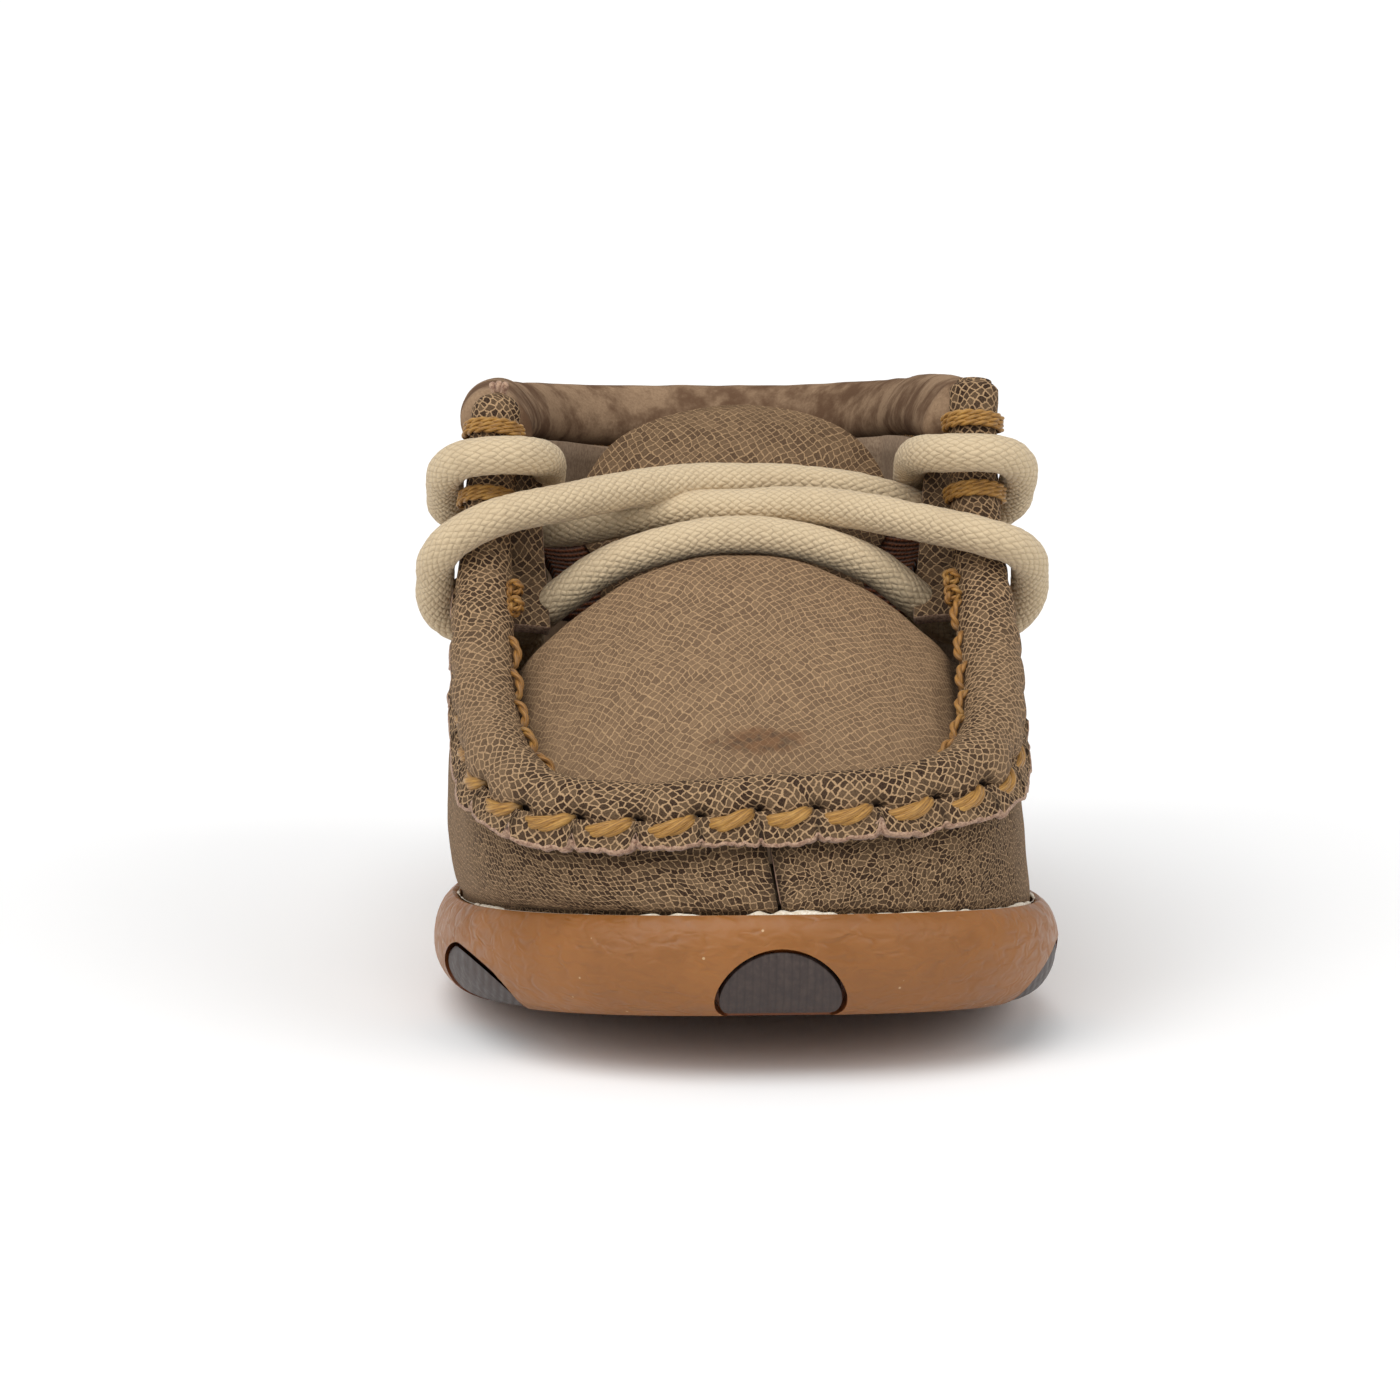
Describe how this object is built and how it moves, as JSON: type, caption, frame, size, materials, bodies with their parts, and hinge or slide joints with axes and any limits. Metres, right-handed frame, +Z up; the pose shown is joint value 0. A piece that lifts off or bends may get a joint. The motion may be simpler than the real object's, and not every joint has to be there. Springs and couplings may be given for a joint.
{
  "type": "moccasin",
  "caption": "Infant's ankle-high driving moccasin with a gum cup sole, rubber pods, a stitched rim roll round a raised apron, a padded collar and a braided lace.",
  "frame": {"origin": "on the floor under the middle of the sole's length and width", "axes": "+Z up, the toe points along -Y, +X is the big-toe side of this right shoe"},
  "size_m": [0.0645, 0.1258, 0.0634],
  "materials": {
    "gum_rubber": "satin",
    "dark_rubber": "satin",
    "embossed_leather": "matte",
    "soft_leather": "matte",
    "lining_leather": "matte",
    "board": "matte",
    "filler": "matte",
    "waxed_thread": "satin",
    "elastic": "matte",
    "lace_cord": "matte",
    "aglet": "gloss"
  },
  "bodies": {
    "shoe": {"outsole": "gum_rubber", "toe_pod": "dark_rubber", "forefoot_pod_left": "dark_rubber", "forefoot_pod_right": "dark_rubber", "heel_pod_left": "dark_rubber", "heel_pod_right": "dark_rubber", "heel_pod_back": "dark_rubber", "tread_pad_front": "dark_rubber", "tread_pad_rear": "dark_rubber", "wall_left": "embossed_leather", "wall_right": "embossed_leather", "rim_roll": "embossed_leather", "apron": "embossed_leather", "heel_strip": "embossed_leather", "facing_left": "embossed_leather", "facing_right": "embossed_leather", "collar": "soft_leather", "lining": "lining_leather", "apron_lining": "lining_leather", "footbed": "lining_leather", "insole_board": "board", "heel_counter": "board", "rim_core": "filler", "collar_foam": "filler", "outer_seam_thread": "waxed_thread", "inner_seam_thread": "waxed_thread", "column_bar_lower_left": "waxed_thread", "column_bar_lower_right": "waxed_thread", "column_bar_upper_left": "waxed_thread", "column_bar_upper_right": "waxed_thread", "gore_left": "elastic", "gore_right": "elastic", "lace": "lace_cord", "aglet_left": "aglet", "aglet_right": "aglet"},
    "tongue": {"tongue": "embossed_leather", "tongue_lining": "lining_leather"}
  },
  "joints": [
    {"name": "tongue_lift", "type": "hinge", "parent": "shoe", "child": "tongue", "pos_m": [0, -0.0172, 0.0405], "axis": [-1, 0, 0], "range_deg": [0, 22], "stiffness_Nm_per_rad": 0.03, "deforming": ["gore_left", "gore_right"]}
  ]
}
